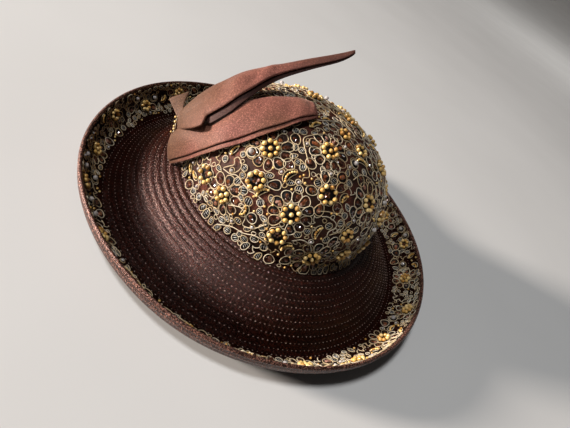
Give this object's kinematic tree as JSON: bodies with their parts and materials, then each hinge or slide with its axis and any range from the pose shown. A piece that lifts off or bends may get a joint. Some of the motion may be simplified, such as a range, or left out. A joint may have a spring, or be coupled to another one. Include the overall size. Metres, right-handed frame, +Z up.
{
  "type": "stitched cloth hat with upturned brim, beaded lace and bow",
  "caption": "Dark brown cloth hat: rounded crown covered in corded, beaded lace, sloping row-stitched brim turned up all round into a low wall with a lace band, and a folded cloth bow.",
  "frame": {"origin": "centre of the hat on the surface it rests on, at the height of the flat ring under the brim's crease", "axes": "+Z up along the crown's axis, -Y towards the side seen first, -X towards the bow"},
  "size_m": [0.3604, 0.3604, 0.1741],
  "materials": {
    "brim_cloth": "fine dark brown cloth sewn in close concentric rows, with a soft sheen",
    "crown_cloth": "fine dark brown cloth, plain inside",
    "bow_cloth": "crepe cloth, a lighter rosy brown where the light falls",
    "lace": "black net with cream-gold cord, gold beads and brown sequins",
    "net": "fine black net ground",
    "cord": "twisted cream-gold cord",
    "beads": "polished amber-gold round beads",
    "sequins": "translucent brown sequins",
    "clear_beads": "small clear glass beads"
  },
  "bodies": {
    "root": {"brim": "brim_cloth", "crown": "crown_cloth", "crown_lace": "lace", "brim_lace": "lace", "bow_lower_tail": "bow_cloth", "bow_upper_tail": "bow_cloth", "bow_back_fold": "bow_cloth"}
  },
  "joints": []
}
